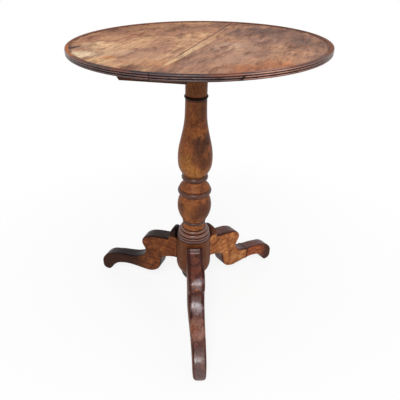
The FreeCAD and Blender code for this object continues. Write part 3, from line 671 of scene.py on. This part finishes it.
def rubbed_round(piece, leg, mesh_mm=1.5):
    """Rubs a leg's edges round, but not where it meets the barrel or the scarf, and less at the toe."""
    fine = piece.modifiers.new("fine_mesh", "REMESH")
    fine.mode = "VOXEL"
    fine.voxel_size = mesh_mm * MM
    take_modifiers(piece)
    mesh = piece.data
    count = len(mesh.vertices)
    flat = np.empty(count * 3)
    mesh.vertices.foreach_get("co", flat)
    points = flat.reshape(-1, 3)
    ends = np.empty(len(mesh.edges) * 2, dtype=int)
    mesh.edges.foreach_get("vertices", ends)
    first, second = ends.reshape(-1, 2).T
    neighbours = np.bincount(ends, minlength=count)[:, None]
    radius = np.hypot(points[:, 0], points[:, 1])
    at_barrel = ramp_of(radius, barrel_radius + barrel_hold, barrel_radius)
    at_barrel *= ramp_of(points[:, 2], ear_height, ear_height - ear_hold)
    out = points @ np.array(leg_out[leg])
    free = (1 - at_barrel) * (1 - toe_hold[leg] * ramp_of(out, *toe_out))
    if leg == "front":
        free *= 1 - front_ear_hold * ramp_of(out, *front_ear_out)
    if leg == "right":
        off_scarf = np.abs(out - scarf_radius - (points[:, 2] - scarf_height) * scarf_slope)
        free *= ramp_of(off_scarf, *scarf_hold)
    for _ in range(rub_passes):
        total = np.empty_like(points)
        for axis in range(3):
            along = points[:, axis]
            total[:, axis] = np.bincount(first, along[second], count)
            total[:, axis] += np.bincount(second, along[first], count)
        points += rub_step * free[:, None] * (total / neighbours - points)
    if leg == "front":
        worn = sole_wear * ramp_of(points[:, 2], sole_height, 0.0) * ramp_of(out, *sole_out)
        across = np.array(leg_side[leg])
        points -= (worn * (points @ across))[:, None] * across
    points[:, 2] = np.maximum(points[:, 2], 0.0)
    mesh.vertices.foreach_set("co", points.ravel())
    mesh.update()
    mesh.shade_smooth()


def wedge(name, mouth_mm, deep_mm):
    """A cutter round two sets of corners: its mouth, outside the wood, and its deep end."""
    bm = bmesh.new()
    for corner in (*mouth_mm, *deep_mm):
        bm.verts.new(Vector(corner) * MM)
    bmesh.ops.convex_hull(bm, input=bm.verts)
    mesh = bpy.data.meshes.new(name)
    bm.to_mesh(mesh)
    bm.free()
    cutter = bpy.data.objects.new(name, mesh)
    scene.collection.objects.link(cutter)
    return cutter


def cut_away(piece, cutters):
    for cutter in cutters:
        cut = piece.modifiers.new("cut", "BOOLEAN")
        cut.operation = "DIFFERENCE"
        cut.solver = "EXACT"
        cut.object = cutter
    take_modifiers(piece)
    for cutter in cutters:
        bpy.data.objects.remove(cutter)


def dress(piece, finish):
    piece.data.materials.clear()
    piece.data.materials.append(finish)


# The polish is on the faces that turn up or down, and inside the edges
polish_turn = 0.5
polish_half_width = 13 * MM
for name, look in leg_looks.items():
    piece = copy_of(name)
    rubbed_round(piece, look["leg"])
    flank, polish = leg_finishes[name]
    dress(piece, flank)
    piece.data.materials.append(polish)
    side = leg_side[look["leg"]]
    for face in piece.data.polygons:
        if abs(face.normal.dot(side)) < polish_turn and abs(face.center.dot(side)) < polish_half_width:
            face.material_index = 1

turning = copy_of("column")
shade(turning, turned_sharp_from)
dress(turning, finishes["turned_walnut"])
for index, (heights, finish) in enumerate(column_parts, start=1):
    turning.data.materials.append(finish)
    for face in turning.data.polygons:
        if any(low < face.center.z / MM < high for low, high in heights):
            face.material_index = index

# The split in the left board, the chip in the lower reeds and the notch in the rim where the boards meet
split_mouth = ((-270, -38, 732), (-263, -63, 732), (-248, -45, 732), (-234, -21, 732), (-252, -27, 732))
split = wedge("split", split_mouth, ((-264, -52, 729), (-246, -38, 730)))
chip_mouth = ((49, -279.5, 720), (56, -279, 720), (60, -277.5, 728), (57, -278, 728))
chip = wedge("chip", chip_mouth, ((51, -272, 720), (58, -272, 727)))
chip_floor = 271.0 * MM
notch_half_width_mm = 1.8
notch_depth_mm = 3.5
notch_heights_mm = (720, 733.5)


def notch(name):
    end = (board_along * -rim_radius + board_across * (joint_middle - joint_slope * rim_radius)) / MM
    mouth = [end + board_across * side for side in (-notch_half_width_mm, notch_half_width_mm)]
    outline = [*mouth, end + board_along * notch_depth_mm]
    low, high = ([point + UP * height for point in outline] for height in notch_heights_mm)
    return wedge(name, low, high)


def wear_board(name, cutters):
    """Cuts and eases one board of the top, and polishes its reeds."""
    piece = copy_of(name)
    cut_away(piece, cutters)
    eased(piece, board_ease_mm)
    dress(piece, board_finishes[name])
    piece.data.materials.append(reed_polish)
    for face in piece.data.polygons:
        radius = math.hypot(face.center.x, face.center.y)
        in_chip = radius > chip_floor and rim_bottom + 0.1 * MM < face.center.z < lip_height - reed_pitch
        if in_chip or (radius > reed_root and face.center.z > rim_bottom):
            face.material_index = 1


wear_board("top_board_left", [split, notch("left_notch")])
wear_board("top_strip", [notch("strip_notch")])
wear_board("top_board_right", [chip])
for name in ("bearer_front", "bearer_back", "tilt_block", "joint_cleat"):
    piece = copy_of(name)
    eased(piece, bar_ease_mm)
    dress(piece, cleat_brown if name == "joint_cleat" else finishes[slot_of[name]])
for name in nodes:
    if not nodes[name].hide_render:
        dress(nodes[name], finishes[slot_of[name]])


# Floor, light and camera
def seen_rays(tree):
    """1 for the rays that show the background: from the camera, in a reflection or through glass."""
    ray = put(tree, "LightPath")
    seen = put(tree, "Math", {0: ray.outputs["Is Camera Ray"], 1: ray.outputs["Is Glossy Ray"]},
               operation="MAXIMUM")
    return put(tree, "Math", {0: seen, 1: ray.outputs["Is Transmission Ray"]}, operation="MAXIMUM")


# White paper for the floor: dull and plain, and shaded under the table. Its half width, and how much of the
# white shows near the table and away from it.
floor_reach = 30.0
shadow_from, shadow_to = 0.25, 1.0
shadow_white = 0.84
# Lamps: name, place, aim, size in metres, power in watts
lamps = (
    ("key", (-0.35, -1.75, 2.05), (0, 0, 0.4), 0.85, 36.0),
    ("fill", (1.7, -1.1, 1.2), (0, 0, 0.4), 1.4, 8.0),
    ("back", (0.5, 2.0, 2.2), (0, 0, 0.3), 1.0, 4.0),
)
world_light = 0.5


def studio():
    floor_mesh = bpy.data.meshes.new("floor")
    corners = [(x * floor_reach, y * floor_reach, 0) for x, y in ((-1, -1), (1, -1), (1, 1), (-1, 1))]
    floor_mesh.from_pydata(corners, [], [(0, 1, 2, 3)])
    floor = bpy.data.objects.new("floor", floor_mesh)
    scene.collection.objects.link(floor)
    material = bpy.data.materials.new("white_paper_floor")
    material.use_nodes = True
    tree = material.node_tree
    output = tree.nodes["Material Output"]
    tree.nodes.remove(tree.nodes["Principled BSDF"])
    paper = put(tree, "BsdfDiffuse", {"Color": paint("f4f4f4")})
    white = put(tree, "Emission", {"Color": paint("ffffff"), "Strength": 1.0})
    place = put(tree, "NewGeometry").outputs["Position"]
    away = put(tree, "VectorMath", {0: place}, operation="LENGTH").outputs["Value"]
    share = put(tree, "MapRange", {"Value": away, "From Min": shadow_from, "From Max": shadow_to,
                                   "To Min": shadow_white, "To Max": 1.0})
    shown = put(tree, "Math", {0: seen_rays(tree), 1: share}, operation="MULTIPLY")
    mixed = put(tree, "MixShader", {0: shown, 1: paper, 2: white})
    tree.links.new(mixed.outputs[0], output.inputs["Surface"])
    floor_mesh.materials.append(material)

    world = bpy.data.worlds.new("studio")
    scene.world = world
    world.use_nodes = True
    tree = world.node_tree
    background = tree.nodes["Background"]
    strength = put(tree, "MapRange", {"Value": seen_rays(tree), "To Min": world_light, "To Max": 1.0})
    background.inputs["Color"].default_value = paint("ffffff")
    tree.links.new(strength.outputs[0], background.inputs["Strength"])

    for name, place, aim, size, power in lamps:
        lamp = bpy.data.lights.new(name, "AREA")
        lamp.size = size
        lamp.energy = power
        holder = bpy.data.objects.new(name, lamp)
        holder.location = place
        holder.rotation_euler = (Vector(aim) - Vector(place)).to_track_quat("-Z", "Y").to_euler()
        scene.collection.objects.link(holder)


# The photo's viewpoint, worked out from the rim, the column and the feet in it: degrees, metres and pixels
camera_angles = (0.428, 31.631, -0.728)
camera_place = Vector((-0.06207, -0.92878, 0.90342))
photo_width = 400
focal_length = 409.42
axis_across = 173.71


def camera():
    heading, pitch, roll = (math.radians(angle) for angle in camera_angles)
    level = Vector((math.sin(heading), math.cos(heading), 0))
    ahead = level * math.cos(pitch) - UP * math.sin(pitch)
    right = Vector((math.cos(heading), -math.sin(heading), 0))
    above = right.cross(ahead)
    rolled_right = right * math.cos(roll) + above * math.sin(roll)
    rolled_above = above * math.cos(roll) - right * math.sin(roll)
    lens = bpy.data.cameras.new("camera")
    lens.sensor_fit = "HORIZONTAL"
    lens.sensor_width = 36.0
    lens.lens = lens.sensor_width * focal_length / photo_width
    lens.shift_x = (photo_width / 2 - axis_across) / photo_width
    holder = bpy.data.objects.new("camera", lens)
    axes = Matrix((rolled_right, rolled_above, -ahead)).transposed().to_4x4()
    holder.matrix_world = Matrix.Translation(camera_place) @ axes
    scene.collection.objects.link(holder)
    scene.camera = holder


studio()
camera()
scene.view_settings.view_transform = "Standard"
